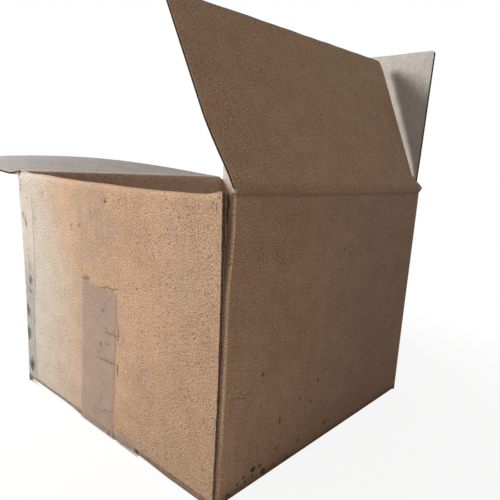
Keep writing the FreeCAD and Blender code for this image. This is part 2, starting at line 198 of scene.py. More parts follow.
# Along each panel from its start: where its flap begins and ends
FLAP_SPANS = {
    "left": (SLOT, WIDTH - SLOT),
    "back": (SLOT - BEND, LENGTH - BEND - SLOT),
    "right": (SLOT - BEND, WIDTH - BEND - SLOT),
    "front": (SLOT - BEND, LENGTH - BEND - JOINT_SLOT),
}
COLUMNS = {
    "left": columns(RAW_EDGE, WIDTH - BEND, *FLAP_SPANS["left"]),
    "back": columns(0, LENGTH - 2 * BEND, *FLAP_SPANS["back"]),
    "right": columns(0, WIDTH - 2 * BEND, *FLAP_SPANS["right"]),
    "front": columns(0, LENGTH - BOARD - 2 * BEND, *FLAP_SPANS["front"]),
}
TAB_COLUMNS = np.linspace(0, TAB_WIDTH, 16)
ARC_COLUMNS = np.linspace(0, 1, 9)[1:-1]

# The fold behind the cut edge: its radius, and how far it stands off between which heights
GLUED_FOLD = 0.0022
TOP_GAP, TOP_GAP_HEIGHTS = 0.0045, (0.138, 0.19)
LOW_GAP, LOW_GAP_HEIGHTS = 0.0006, (0.05, 0.13)
GAP_DEPTH = 0.014


def joint_gap(height):
    """How far the glued fold stands away from the cut edge."""
    top = TOP_GAP * float(smooth(height, *TOP_GAP_HEIGHTS))
    return top + LOW_GAP * float(smooth(height, *LOW_GAP_HEIGHTS))


def straight(name, start, direction, places, outward):
    """Straight stretch of the plan: its name, points and outward normals."""
    points = np.array(start) + np.outer(places, direction)
    return name, points, np.tile(np.array(outward, float), (len(points), 1))


def corner(name, centre, radius, angle):
    """Inner samples of a rounded corner that turns right, from an outward angle in degrees."""
    angles = np.radians(angle - 90 * ARC_COLUMNS)
    normals = np.stack([np.cos(angles), np.sin(angles)], -1)
    return name, np.array(centre) + radius * normals, normals


def wall_parts(gap):
    """The plan's stretches and corners in turn, from the cut edge to the glue tab."""
    glued_x = LEFT + BOARD
    reach = (RIGHT - BEND) - (glued_x + gap + GLUED_FOLD)
    front_places = np.minimum(COLUMNS["front"], reach - 2 * EDGE_STEP)
    front_places[-2:] = reach - EDGE_STEP, reach
    return [
        straight("left", (LEFT, FRONT), (0, 1), COLUMNS["left"], (-1, 0)),
        corner("left_back", (LEFT + BEND, BACK - BEND), BEND, 180),
        straight("back", (LEFT + BEND, BACK), (1, 0), COLUMNS["back"], (0, 1)),
        corner("right_back", (RIGHT - BEND, BACK - BEND), BEND, 90),
        straight("right", (RIGHT, BACK - BEND), (0, -1), COLUMNS["right"], (1, 0)),
        corner("right_front", (RIGHT - BEND, FRONT + BEND), BEND, 0),
        straight("front", (RIGHT - BEND, FRONT), (-1, 0), front_places, (0, -1)),
        corner("glued", (glued_x + gap + GLUED_FOLD, FRONT + GLUED_FOLD), GLUED_FOLD, -90),
        straight("tab", (glued_x, FRONT + GLUED_FOLD), (0, 1), TAB_COLUMNS, (-1, 0)),
    ]


def wall_plan(height):
    """Outside of the sheet at one height: points, outward normals and names of their panels."""
    gap = joint_gap(height)
    points, normals, names = [], [], []
    for name, part, normal in wall_parts(gap):
        if name == "tab":
            part[:, 0] += gap * (1 - smooth(TAB_COLUMNS, 0, GAP_DEPTH))
        points.append(part)
        normals.append(normal)
        names += [name] * len(part)
    return np.concatenate(points), np.concatenate(normals), np.array(names)


WALL_BASE, _, PANEL = wall_plan(0.1)
WALL_RUN = RAW_EDGE + np.append(0, np.cumsum(np.linalg.norm(np.diff(WALL_BASE, axis=0), axis=1)))


def run_start(name):
    """Where a panel starts on the unfolded sheet."""
    return WALL_RUN[int(np.argmax(PANEL == name))]


def carrying(name):
    """Columns of the panel that carry its flap."""
    places, (first, last) = COLUMNS[name], FLAP_SPANS[name]
    start = int(np.argmax(PANEL == name))
    chosen = np.zeros(len(PANEL), bool)
    chosen[start:start + len(places)] = (places > first) & (places < last)
    return chosen


CARRIES = {name: carrying(name) for name in COLUMNS}

# Heights above the fold lines of the short stretches of wall between the flaps
CORNER_TOPS = {
    "left_back": 0.0020,
    "right_back": -0.0004,
    "right_front": -0.0002,
    "glued": -0.0014,
}
EAR_TOP = 0.0026
RAW_TOP = 0.0008

# Below the roll of the left flap: where the wall ends, and where the glue tab does
ROLL_START = 0.001
TAB_TOP = 0.0033

# Lower ends of the walls' corners and, above the bottom flaps, of the glue tab
CORNER_BOTTOM = 0.001
TAB_FOOT = 0.003


def wall_tops():
    """Height of the walls' upper edge in each column."""
    tops = np.full(len(PANEL), FOLD)
    tops[PANEL == "left"] = FOLD + np.where(WALL_BASE[PANEL == "left", 1] > 0, EAR_TOP, RAW_TOP)
    for name, lift in CORNER_TOPS.items():
        tops[PANEL == name] = FOLD + lift
    tops[PANEL == "tab"] = CROWN_Z - CROWN - TAB_TOP
    tops[CARRIES["left"]] = CROWN_Z - ROLL_START
    tops[CARRIES["back"]] = FOLD - STRIP
    tops[CARRIES["right"]] = SIDE_FOLD - STRIP
    tops[CARRIES["front"]] = FOLD - STRIP
    return tops


def wall_bottoms():
    """Height of the walls' lower edge, where the bottom flaps bend away."""
    bottoms = np.full(len(PANEL), CORNER_BOTTOM)
    for name in ("left", "right"):
        bottoms[CARRIES[name]] = UPPER_FLOOR + BEND
    for name in ("front", "back"):
        bottoms[CARRIES[name]] = BEND
    bottoms[PANEL == "tab"] = UPPER_FLOOR + BOARD + TAB_FOOT
    return bottoms


DENT, DENT_SIZE, DENT_EDGES = 0.0006, 0.16, (0.004, 0.05)


def panel_dent(run, height, edge_distance):
    """How far the walls are pressed in, in metres; the folds at their ends stay in place."""
    return DENT * (1 + waves(run, height, DENT_SIZE, 3)) * smooth(edge_distance, *DENT_EDGES)


# Corners of the box that are pushed in at mid height: where, how wide and how far
PUSHED_CORNERS = (
    ((LEFT, BACK), 0.03, (0.0011, -0.0011)),
    ((LEFT, FRONT), 0.03, (0.0016, 0.0)),
)

# How far the right front corner is spread at its top, over which width and from which height
SPREAD = 0.0016
SPREAD_WIDTH = 0.035
SPREAD_START = 0.04


def pushed(points):
    """Points of the walls or tapes, moved with the corners that are pushed in or spread."""
    moved = np.array(points)
    height = np.sin(math.pi * np.clip(moved[..., 2] / FOLD, 0, 1))
    for place, radius, push in PUSHED_CORNERS:
        distance = np.hypot(points[..., 0] - place[0], points[..., 1] - place[1])
        moved[..., :2] += (height * hump(distance, 0, radius))[..., None] * np.array(push)
    distance = np.hypot(points[..., 0] - RIGHT, points[..., 1] - FRONT)
    rising = smooth(points[..., 2], SPREAD_START, FOLD)
    moved[..., 0] += SPREAD * rising * hump(distance, 0, SPREAD_WIDTH)
    return moved


def wall_grid():
    """Outer and inner points, and the unfolded places, of the whole wall."""
    tops, bottoms = wall_tops(), wall_bottoms()
    outer, inner, flat = [], [], []
    for share in np.linspace(0, 1, int(FOLD / STEP)):
        heights = bottoms + share * (tops - bottoms)
        points = np.zeros((len(PANEL), 3))
        normals = np.zeros((len(PANEL), 3))
        plans = {}
        for column, height in enumerate(heights):
            key = round(float(height), 4)
            if key not in plans:
                plans[key] = wall_plan(key)
            points[column, :2] = plans[key][0][column]
            normals[column, :2] = plans[key][1][column]
        points[:, 2] = heights
        dent = panel_dent(WALL_RUN, heights, edge_distance(heights))
        points -= normals * dent[:, None]
        outer.append(pushed(points))
        inner.append(pushed(points - normals * BOARD))
        flat.append(stack(WALL_RUN, heights, 0 * WALL_RUN))
    return np.array(outer), np.array(inner), np.array(flat)


def edge_distance(heights):
    """Distance of each column from the nearest vertical fold or horizontal edge."""
    across_x = np.minimum(WALL_BASE[:, 0] - LEFT, RIGHT - WALL_BASE[:, 0])
    across_y = np.minimum(WALL_BASE[:, 1] - FRONT, BACK - WALL_BASE[:, 1])
    along = np.where(np.isin(PANEL, ["left", "right", "tab"]), across_y, across_x)
    return np.minimum(along, np.minimum(heights, FOLD - heights))


WALL_OUTER, WALL_INNER, WALL_FLAT = wall_grid()

# How far the side panels' bottom bends bulge down, along Y, and the bulge's width along X
LIP_PLACES = (FRONT, -0.09, -0.06, -0.045, -0.03, 0.03, 0.05, 0.075, 0.12, BACK)
LIP_DEPTHS = (0.0036, 0.0036, 0.0022, 0.0022, 0.0034, 0.0036, 0.0016, 0.0008, 0.0010, 0.003)
LIP_WIDTH = 0.0046


def lip(run, y):
    """How far the bottom bend of a side panel hangs below its floor."""
    middle = LIP_WIDTH / 2
    bulge = np.clip(1 - ((run - middle) / middle) ** 4, 0, 1)
    return bulge * np.interp(y, LIP_PLACES, LIP_DEPTHS)


def floor_flap(name, level, outward):
    """Bottom flap that bends inward from the lower edge of a panel."""
    chosen = CARRIES[name]
    outer_row, flat_row = WALL_OUTER[0][chosen], WALL_FLAT[0][chosen]
    inward = -np.array(outward, float)
    profile = []
    for angle in np.radians(np.linspace(0, 90, 10)):
        profile.append((BEND * (1 - math.cos(angle)), -BEND * math.sin(angle), angle))
    for run in np.linspace(BEND + STEP, FLAP_LENGTH, 30):
        profile.append((run, -BEND, math.pi / 2))
    outer, inner, flat = [], [], []
    for run, drop, angle in profile:
        normal = np.append(-inward * math.cos(angle), -math.sin(angle))
        row = outer_row + np.append(inward * run, 0)
        row[:, 2] = level + BEND + drop
        if level > 0:
            row[:, 2] -= lip(run, row[:, 1])
        outer.append(row)
        inner.append(row - normal * BOARD)
        flat.append(flat_row - np.array([0, run + BEND, 0]))
    return np.array(outer), np.array(inner), np.array(flat)


# The cut edge: where its sheets begin, how the inner liner is torn back below a height, and how
# far behind the edge the last flute ends
EDGE_BOTTOM = 0.0015
EDGE_BACK = 0.0003
TORN_BACK, TORN_BELOW = 0.0009, 0.181
FLUTE_BACK = 0.0014
FIBRE_LOW, FIBRE_HIGH = 0.040, 0.049


def cut_edge_sheets():
    """The left panel's cut edge: its two liners, the flank of the last flute and a loose fibre."""
    heights = np.linspace(EDGE_BOTTOM, FOLD + RAW_TOP, 130)
    ragged = 0.0003 * waves(heights, 0 * heights, 0.02, 11)
    ragged += 0.0002 * waves(heights, 0 * heights, 0.005, 12)
    places = np.linspace(0, 1, 5)[None, :]
    torn = TORN_BACK * smooth(heights, TORN_BELOW, TORN_BELOW - 0.002)
    sheets = []
    liners = ((0.0, 0 * heights, (OUTER, CUT, INNER)), (BOARD - LINER, torn, (CUT, INNER, INNER)))
    for depth, back, finishes in liners:
        end = FRONT + EDGE_BACK + np.abs(ragged) + back
        y = end[:, None] + places * (FRONT + RAW_EDGE - end[:, None])
        outer = stack(LEFT + depth, y, heights[:, None])
        sheets.append((outer, outer + np.array([LINER, 0, 0]), finishes))
    y = FRONT + RAW_EDGE - places * (RAW_EDGE - FLUTE_BACK) + ragged[:, None]
    x = LEFT + LINER + (BOARD - 2 * LINER) * smooth(places, 0.1, 0.9)
    outer = stack(x, y, heights[:, None])
    sheets.append((outer, outer + np.array([0, MEDIUM, 0]), (CUT, CUT, CUT)))
    return sheets + [loose_fibre()]


def loose_fibre():
    """Curled strip of torn paper that hangs from the cut edge."""
    z = np.linspace(FIBRE_LOW, FIBRE_HIGH, 8)[:, None]
    y = FRONT - 0.0006 + 0.0004 * np.sin(z / 0.0016)
    x = LEFT + 0.0035 + np.array([[0.0, 0.0005]]) + 0.0005 * np.cos(z / 0.002)
    outer = stack(x, y, z)
    return outer, outer + np.array([0, MEDIUM, 0]), (INNER, INNER, INNER)


def make_walls(materials):
    """Walls, bottom flaps and glue tab, which are one folded sheet."""
    board = Board()
    board.add(WALL_OUTER, WALL_INNER, WALL_FLAT)
    board.add(*floor_flap("front", 0.0, (0, -1)))
    board.add(*floor_flap("back", 0.0, (0, 1)))
    board.add(*floor_flap("left", UPPER_FLOOR, (-1, 0)))
    board.add(*floor_flap("right", UPPER_FLOOR, (1, 0)))
    for outer, inner, finishes in cut_edge_sheets():
        flat = stack(outer[..., 1] - FRONT, outer[..., 2], 0 * outer[..., 0])
        board.add(pushed(outer), pushed(inner), flat, finishes)
    piece = board.build("carton_walls", materials)
    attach(piece, "box")
    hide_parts("box_body")


# Flaps

# Share of the thickness that is left at a crushed side edge, and how far in the crushing reaches
CRUSHED = 0.5
CRUSHED_WIDTH = 0.006

# Steps of the mesh across a flap's side edges, and where the even steps begin
SIDE_STEPS = np.array([0, 0.0003, 0.0008, 0.0016, 0.0028, 0.0044, 0.0062, 0.008])
SIDE_WIDTH = 0.008

# How far the fluted paper stays behind a flap's side and free edges
FLUTE_SIDE = 0.0005
FLUTE_TRIM = 0.0004
STEPS_PER_FLUTE = 12


class Flap:
    """A flap in its own frame: X along the fold, Y inward from its outer face, Z to its free edge.

    It runs from low to high along X, its free corners have the two radii, and offset is the fold's
    place on the unfolded sheet. Its foot stands at start, and it loses short where a rolled fold
    takes up board. bow gives its shift along X, its lift along Y and its lean. crushed is the share
    of the thickness at its side edges, and side is -1 where its outer face looks inward.
    """

    def __init__(
        self, name, low, high, radii, matrix, offset, bow,
        start=STRIP, short=0.0, side=1, crushed=CRUSHED,
    ):
        self.name, self.low, self.high = name, low, high
        self.radii = radii
        self.matrix = np.array(matrix)
        self.offset = offset
        self.bow = bow
        self.start, self.short, self.side = start, short, side
        self.crushed = crushed

    def place(self, x, depth, height):
        """World points of the flap, crushed at its side edges and with its own unevenness."""
        side_distance = np.minimum(x - self.low, self.high - x)
        thickness = self.crushed + (1 - self.crushed) * smooth(side_distance, 0, CRUSHED_WIDTH)
        depth = self.side * (BOARD / 2 + (depth - BOARD / 2) * thickness)
        shift, lift, lean = self.bow(x, height)
        y = depth + lift
        z = height + 0 * y
        turned_y = y * np.cos(lean) + z * np.sin(lean)
        turned_z = z * np.cos(lean) - y * np.sin(lean)
        local = stack(x + shift, turned_y, turned_z, np.ones_like(turned_y))
        return (local @ self.matrix.T)[..., :3]

    def end(self, x):
        """Height of the free edge at x, with its rounded corners."""
        height = np.full(np.shape(x), FLAP_LENGTH)
        for radius, inset in ((self.radii[0], x - self.low), (self.radii[1], self.high - x)):
            left = np.clip(radius - inset, 0, radius)
            height = height - (radius - np.sqrt(radius ** 2 - left ** 2))
        return height + 0.0002 * waves(x, 0 * x, 0.03, 5) - self.short

    def columns(self):
        count = int((self.high - self.low - 2 * SIDE_WIDTH) / STEP)
        middle = np.linspace(self.low + SIDE_WIDTH, self.high - SIDE_WIDTH, count)[1:-1]
        return np.concatenate([self.low + SIDE_STEPS, middle, self.high - SIDE_STEPS[::-1]])

    def sheet(self, xs, near_depth, far_depth, trim, rows):
        """Grid pair between two depths, from the foot up to the free edge less trim."""
        shares = np.linspace(0, 1, rows)[:, None]
        height = self.start + shares * (self.end(xs)[None, :] - trim - self.start)
        x = np.broadcast_to(xs[None, :], height.shape)
        outer = self.place(x, np.broadcast_to(near_depth, height.shape), height)
        inner = self.place(x, np.broadcast_to(far_depth, height.shape), height)
        return outer, inner, stack(self.offset - self.side * x, FOLD + height, 0 * x)

    def make(self, materials, body):
        board = Board()
        xs = self.columns()
        rows = int(FLAP_LENGTH / STEP)
        board.add(*self.sheet(xs, 0.0, LINER, 0.0, rows), (OUTER, CUT, INNER))
        board.add(*self.sheet(xs, BOARD - LINER, BOARD, 0.0, rows), (CUT, INNER, CUT))
        count = int((self.high - self.low) / PITCH * STEPS_PER_FLUTE)
        wave_xs = np.linspace(self.low + FLUTE_SIDE, self.high - FLUTE_SIDE, count)
        reach = BOARD / 2 - LINER - MEDIUM / 2
        middle = BOARD / 2 + reach * np.cos(2 * math.pi * (wave_xs - self.low) / PITCH)
        near, far = middle - MEDIUM / 2, middle + MEDIUM / 2
        board.add(*self.sheet(wave_xs, near, far, FLUTE_TRIM, 24), (CUT, CUT, CUT))
        piece = board.build(f"{self.name}_board", materials)
        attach(piece, body)
        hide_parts(self.name)


def flap_matrix(place, turn, lean):
    """Frame of a flap: X along the fold, Y inward, Z towards the free edge."""
    return (
        Matrix.Translation(place)
        @ Matrix.Rotation(math.radians(turn), 4, "Z")
        @ Matrix.Rotation(math.radians(lean), 4, "X")
    )


def front_bow(x, height):
    """The flap leans in further at its left end, and its lower right corner is bent out."""
    share = (x - LEFT) / LENGTH
    lean = np.radians(2.0 - 5.0 * share) * smooth(height, 0.0, 0.03)
    lift = 0.0012 * np.sin(math.pi * height / FLAP_LENGTH) * np.sin(math.pi * share)
    bent = smooth(x, RIGHT - 0.03, RIGHT - SLOT) * smooth(height, 0.02, 0.003)
    spread = SPREAD * smooth(x, RIGHT - 0.05, RIGHT - SLOT) * smooth(height, 0.03, 0.003)
    left_end = smooth(x, LEFT + 0.04, LEFT + JOINT_SLOT)
    shift = 0.0076 * bent + spread + left_end * (0.003 - 0.0052 * smooth(height, 0.0, 0.055))
    return shift, lift - 0.0028 * bent, lean


def right_bow(x, height):
    """The flap leans out a little more near the front, where its corner is spread."""
    share = (x - FRONT) / WIDTH
    lean = -np.radians(3.0) * (1 - share) * smooth(height, 0.0, 0.04)
    return 0 * x, -SPREAD * hump(x, FRONT, SPREAD_WIDTH) + 0 * height, lean


def back_bow(x, height):
    """The flap arches up along its middle and droops at its left end."""
    share = (x - LEFT) / LENGTH
    arch = 0.007 * np.sin(math.pi * share) * smooth(height, 0.0, 0.1)
    droop = 0.0045 * smooth(x, RIGHT - 0.045, RIGHT) * smooth(height, 0.0, 0.03)
    return 0 * x, arch - droop, 0 * x + 0 * height


def left_bow(x, height):
    """The hanging flap isn't quite flat."""
    bulge = 0.0004 * waves(x, height, 0.09, 8) * smooth(height, 0.0, 0.03)
    return 0 * x, bulge + 0 * x, 0 * x + 0 * height


# How far the front fold line sags below its hinge, along X
SAG_PLACES = (LEFT, LEFT + 0.011, LEFT + 0.077, LEFT + 0.20, RIGHT)
SAG_DEPTHS = (0.0006, 0.0007, 0.0020, 0.0018, 0.0004)


def front_sag(x):
    return np.interp(x, SAG_PLACES, SAG_DEPTHS)


def make_flaps(marked, plain, right_side, back_side):
    """The three standing flaps and their folds; each takes the three finishes of its board."""
    front_offset = run_start("front") + RIGHT - BEND
    front = Flap(
        "front_flap", LEFT + JOINT_SLOT, RIGHT - SLOT, (0.007, 0.008),
        flap_matrix((0, FRONT, FOLD), 0, -FRONT_LEAN), front_offset, front_bow,
    )
    right_offset = run_start("right") + BACK - BEND
    right = Flap(
        "right_flap", FRONT + SLOT, BACK - SLOT, (0.002, 0.002),
        flap_matrix((RIGHT, 0, SIDE_FOLD), 90, 0), right_offset, right_bow, crushed=1.0,
    )
    back_offset = run_start("back") - LEFT - BEND
    back = Flap(
        "back_flap", LEFT + SLOT, RIGHT - SLOT, (0.002, 0.002),
        flap_matrix((0, BACK, FOLD), 180, BACK_LEAN), back_offset, back_bow,
    )
    front.make(marked, "front")
    right.make(right_side, "right")
    back.make(back_side, "back")
    make_fold(front, "front", marked, (0, FRONT, FOLD), (0, 1, 0), front_sag)
    make_fold(right, "right", plain, (RIGHT, 0, SIDE_FOLD), (-1, 0, 0), np.zeros_like)
    make_fold(back, "back", plain, (0, BACK, FOLD), (0, -1, 0), np.zeros_like)


# The pressed line in the middle of each fold: its depth and, as a share of the fold, its width
GROOVE_DEPTH = 0.0005
GROOVE_SHARE = 0.07
FOLD_SHARES = np.unique(np.append(np.linspace(0, 1, 9), np.linspace(0.4, 0.6, 9)).round(4))


def bezier(first, control, last, share):
    """Point of a curve from first to last that is drawn towards control."""
    return (1 - share) ** 2 * first + 2 * share * (1 - share) * control + share ** 2 * last


def make_fold(flap, panel, materials, pivot, wall_normal, sag):
    """Band of board that bends between the top of a wall and the foot of its flap."""
    chosen = CARRIES[panel]
    wall_outer, wall_inner = WALL_OUTER[-1][chosen], WALL_INNER[-1][chosen]
    along, flap_normal = flap.matrix[:3, 0], flap.matrix[:3, 1]
    wall_normal = np.array(wall_normal, float)
    xs = (wall_outer - flap.matrix[:3, 3]) @ along
    axis = np.array(pivot) + np.outer(xs, along) - np.outer(sag(xs), (0, 0, 1))
    inward = (wall_normal + flap_normal) / (1 + wall_normal @ flap_normal)
    foot = np.full_like(xs, STRIP)
    flap_outer = flap.place(xs, 0.0, foot)
    flap_inner = flap.place(xs, BOARD, foot)
    outer, inner, flat = [], [], []
    for share in FOLD_SHARES:
        groove = GROOVE_DEPTH * hump(share, 0.5, GROOVE_SHARE) * inward
        outer.append(bezier(wall_outer, axis, flap_outer, share) + groove)
        inner.append(bezier(wall_inner, axis + BOARD * inward, flap_inner, share))
        flat.append(WALL_FLAT[-1][chosen] + np.array([0, share * 2 * STRIP, 0]))
    board = Board()
    board.add(np.array(outer), np.array(inner), np.array(flat))
    piece = board.build(f"{panel}_fold", materials, sharp=60)
    start, end = wall_outer.mean(axis=0), flap_outer.mean(axis=0)
    tuple(start)
    tuple(end)
    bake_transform(piece)


# Top of the rolled left rim: distance from the back edge and height, and how square it is;
# a round one would have 1
RIM_PLACES = (0.0, 0.004, 0.012, 0.045, 0.088, 0.159, 0.2155, 0.2457, 0.2608, 0.2665, 0.276)
RIM_HEIGHTS = (0.2116, 0.2114, 0.2104, 0.2096, 0.2081, 0.2069, 0.2063, 0.2071, 0.2077, 0.2089, 0.2098)
RIM_SQUARENESS = 0.55


def make_left_flap(materials):
    """The flap folded into the box: the rolled top of the wall, then the board hanging inside."""
    chosen = CARRIES["left"]
    start = WALL_OUTER[-1][chosen]
    ys = start[:, 1]
    top = np.interp(BACK - ys, RIM_PLACES, RIM_HEIGHTS) + 0.0002 * waves(ys, 0 * ys, 0.03, 21)
    outer, inner = [start], [WALL_INNER[-1][chosen]]
    flat = [WALL_FLAT[-1][chosen]]
    length = 0.0
    for angle in np.radians(np.linspace(180, 0, 25)):
        across = math.copysign(abs(math.cos(angle)) ** RIM_SQUARENESS, math.cos(angle))
        up = abs(math.sin(angle)) ** RIM_SQUARENESS
        outer.append(stack(CROWN_X + CROWN * across, ys, CROWN_Z + (top - CROWN_Z) * up))
        thin = CROWN - BOARD
        inner.append(stack(CROWN_X + thin * across, ys, CROWN_Z + (top - CROWN_Z - BOARD) * up))
        length += float(np.linalg.norm(outer[-1] - outer[-2], axis=1).mean())
        flat.append(flat[0] + np.array([0, length, 0]))
    board = Board()
    board.add(np.array(outer), np.array(inner), np.array(flat))
    roll = board.build("left_fold", materials, sharp=60)
    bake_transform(roll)
    hanging = Flap(
        "left_flap", FRONT + SLOT, BACK - SLOT, (0.002, 0.002),
        flap_matrix((CROWN_X + CROWN, 0, CROWN_Z), 90, 180), -FRONT, left_bow,
        start=0.0, short=CROWN, side=-1,
    )
    hanging.make(materials, "left")


# Tapes

FILM = 0.0001
FILM_LIFT = 0.00012
TAPE_BEND = 0.004
HALF_TAPE = 0.0252


TAPE_STEP = 0.006
QUARTER_TURN = np.radians(np.linspace(0, 90, 7)[1:-1])
WRINKLE, WRINKLE_SIZE = 0.00012, 0.016

# The torn upper end of the bottom tapes: how far it slants and how ragged it is
TAPE_SLANT = 0.0015
TAPE_TEAR = 0.0004

# The long tape's middle on the left wall: its Y at the foot, and its drift up to its end
TAPE_MIDDLE = 0.0055
TAPE_DRIFT = -0.0085
TAPE_RISE = 0.060
SECOND_TAPE_SHIFT = 0.003

# Width of the corner tape on the left panel low down, what it gains above, and on the back panel
CORNER_TAPE_LOW = 0.021
CORNER_TAPE_GAIN = 0.007
CORNER_TAPE_BACK = 0.024


def face_dent(run, height, distance):
    """The wall's own dent under a tape."""
    edge = np.minimum(distance, np.minimum(height, FOLD - height))
    return panel_dent(run + 0 * height, height, edge)


def make_tape(name, node, outer, normals, flat, material):
    """Thin wrinkled film just off the board."""
    wrinkle = WRINKLE * (1 + waves(flat[..., 0], flat[..., 1], WRINKLE_SIZE, 31))
    low = outer + normals * (FILM_LIFT + wrinkle)[..., None]
    board = Board()
    board.add(low + normals * FILM, low, flat, (0, 0, 0))
    piece = board.build(name, [material])
    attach(piece, "box")
    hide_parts(node)


def tape_rows(top, end, ends_at):
    """Rows of a ribbon in turn: the stretch they lie on and their place along it."""
    rows = [("left", share) for share in np.linspace(1, 0, max(3, int(top / STEP)))]
    rows += [("bend", angle) for angle in QUARTER_TURN]
    rows += [("under", x) for x in np.arange(LEFT + TAPE_BEND, end, TAPE_STEP)]
    if ends_at:
        rows += [("rise", angle) for angle in QUARTER_TURN[::-1]]
        rows += [("right", z) for z in np.arange(TAPE_BEND, ends_at, STEP)]
    return rows


def tape_place(stretch, place):
    """X and Z of a row past the left wall, and of its outward normal."""
    if stretch == "under":
        return place, 0.0, 0.0, -1.0
    if stretch == "right":
        return RIGHT, place, 1.0, 0.0
    side, wall = (-1, LEFT) if stretch == "bend" else (1, RIGHT)
    sine, cosine = math.sin(place), math.cos(place)
    return wall - side * TAPE_BEND * (1 - cosine), TAPE_BEND * (1 - sine), side * cosine, -sine


def tape_round_bottom(centre, half, top, end, ends_at):
    """Ribbon down the left wall, under the box and, where ends_at is a height, up the right wall.

    centre(z) is the middle's Y at height z, and end is where it stops along X under the box.
    """
    across = np.linspace(-1, 1, 17)
    tear = waves(across * half, 0 * across, 0.008, 33)
    torn_top = top + TAPE_SLANT * across + TAPE_TEAR * tear
    points, normals, flat, run = [], [], [], 0.0
    for stretch, place in tape_rows(top, end, ends_at):
        if stretch == "left":
            z = TAPE_BEND + place * (torn_top - TAPE_BEND)
            y = centre(z) + half * across
            dent = face_dent(y - FRONT, z, np.minimum(y - FRONT, BACK - y))
            points.append(stack(LEFT + dent, y, z))
            normals.append(stack(-1.0, 0.0, 0 * y))
            flat.append(stack(y - FRONT, z, 0.0))
            continue
        y = centre(0.0) + half * across
        run += TAPE_STEP
        x, z, normal_x, normal_z = tape_place(stretch, place)
        points.append(stack(x, y, z))
        normals.append(stack(normal_x, 0 * y, normal_z))
        flat.append(stack(y - FRONT, -run, 0.0))
    return pushed(np.array(points)), np.array(normals), np.array(flat)


def corner_tape():
    """Strip down the left back corner, on both panels."""
    heights = np.linspace(EDGE_BOTTOM, CORNER_TAPE_TOP, 66)
    width = CORNER_TAPE_LOW + CORNER_TAPE_GAIN * smooth(heights, 0.07, 0.12)
    width += TAPE_TEAR * waves(heights, 0 * heights, 0.02, 35)
    shares = np.linspace(0, 1, 9)[None, :]
    z = heights[:, None] + 0 * shares
    y = BACK - width[:, None] + shares * (width[:, None] - BEND)
    dent = face_dent(y - FRONT, z, BACK - y)
    left = stack(LEFT + dent, y, z)
    left_normals = stack(-1.0, 0.0, 0 * y)
    _, arc, arc_normals = corner("left_back", (LEFT + BEND, BACK - BEND), BEND, 180)
    bend = stack(arc[None, :, 0], arc[None, :, 1], heights[:, None])
    bend_normals = stack(arc_normals[None, :, 0], arc_normals[None, :, 1], 0 * heights[:, None])
    x = LEFT + BEND + shares * (CORNER_TAPE_BACK - BEND) + 0 * z
    run = run_start("back") + x - LEFT - BEND
    dent = face_dent(run, z, x - LEFT)
    back = stack(x, BACK - dent, z)
    back_normals = stack(0 * x, 1.0, 0.0)
    runs = np.concatenate([y - FRONT, WIDTH + 0 * bend[..., 0], run], axis=1)
    points = np.concatenate([left, bend, back], axis=1)
    normals = np.concatenate([left_normals, bend_normals, back_normals], axis=1)
    return pushed(points), normals, stack(runs, points[..., 2], 0.0)


def make_tapes(film, corner_film):
    def middle(z):
        return TAPE_MIDDLE + TAPE_DRIFT * z / TAPE_TOP

    low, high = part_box("second_tape")

    def second_middle(z):
        return (low.y + high.y) / 2 + SECOND_TAPE_SHIFT + 0 * z

    points, normals, flat = tape_round_bottom(middle, HALF_TAPE, TAPE_TOP, RIGHT - TAPE_BEND, TAPE_RISE)
    make_tape("bottom_tape_film", "bottom_tape", points, normals, flat, film)
    points, normals, flat = tape_round_bottom(second_middle, (high.y - low.y) / 2, high.z, high.x, 0.0)
    make_tape("second_tape_film", "second_tape", points, normals, flat, film)
    points, normals, flat = corner_tape()
    make_tape("corner_tape_film", "corner_tape", points, normals, flat, corner_film)


# Marks on the paper: distance from the panel's edge, distance below its fold, half width,
# half height, all in millimetres, then strength and turn in degrees

CORNER_SMUDGES = (
    (8, 11, 1.2, 3.5, 0.8, 15), (3, 21, 1, 2.5, 0.6, 0), (19, 21, 1.2, 1.5, 0.4, 0),
    (9, 38, 1.1, 4.5, 0.6, -15), (14, 45, 1.4, 5, 0.8, -15), (32, 39, 1.4, 2, 0.35, 0),
    (3, 61, 2, 3, 0.7, 0), (16, 70, 2, 1.6, 0.5, 0), (15, 77, 1.5, 2, 0.4, 0),
    (16, 86, 2, 5, 0.45, 0), (16, 100, 3, 4.5, 0.95, 0), (14, 111, 4, 1.4, 0.8, 12),
    (7, 131, 4, 6, 0.95, 0), (21, 141, 1.5, 2.5, 0.5, 0), (6, 155, 5, 7, 1.0, 0),
    (4, 177, 1.6, 2.2, 0.6, 0), (12, 188, 4.5, 6, 1.0, 0), (7, 205, 6, 3.5, 1.0, 20),
)
TAPE_CREASES = (
    (120, 79, 6, 1.3, 0.6, 0), (156, 80, 13, 0.9, 0.5, -6), (167, 112, 0.9, 8, 0.6, 0),
    (166, 144, 1.1, 5, 0.8, 0), (156, 117, 10, 0.9, 0.5, -4), (151, 141, 15, 0.9, 0.5, -5),
    (141, 177, 0.9, 8, 0.4, 8), (150, 185, 9, 0.9, 0.4, -15), (137, 189, 5, 0.8, 0.35, 25),
    (146, 100, 1.6, 1.4, 0.6, 0), (142, 129, 1.6, 1.8, 0.7, 0), (152, 126, 1.3, 1.5, 0.6, 0),
    (153, 206, 1.3, 3.5, 1.0, 0), (192, 206, 1.6, 3, 1.0, 0),
)
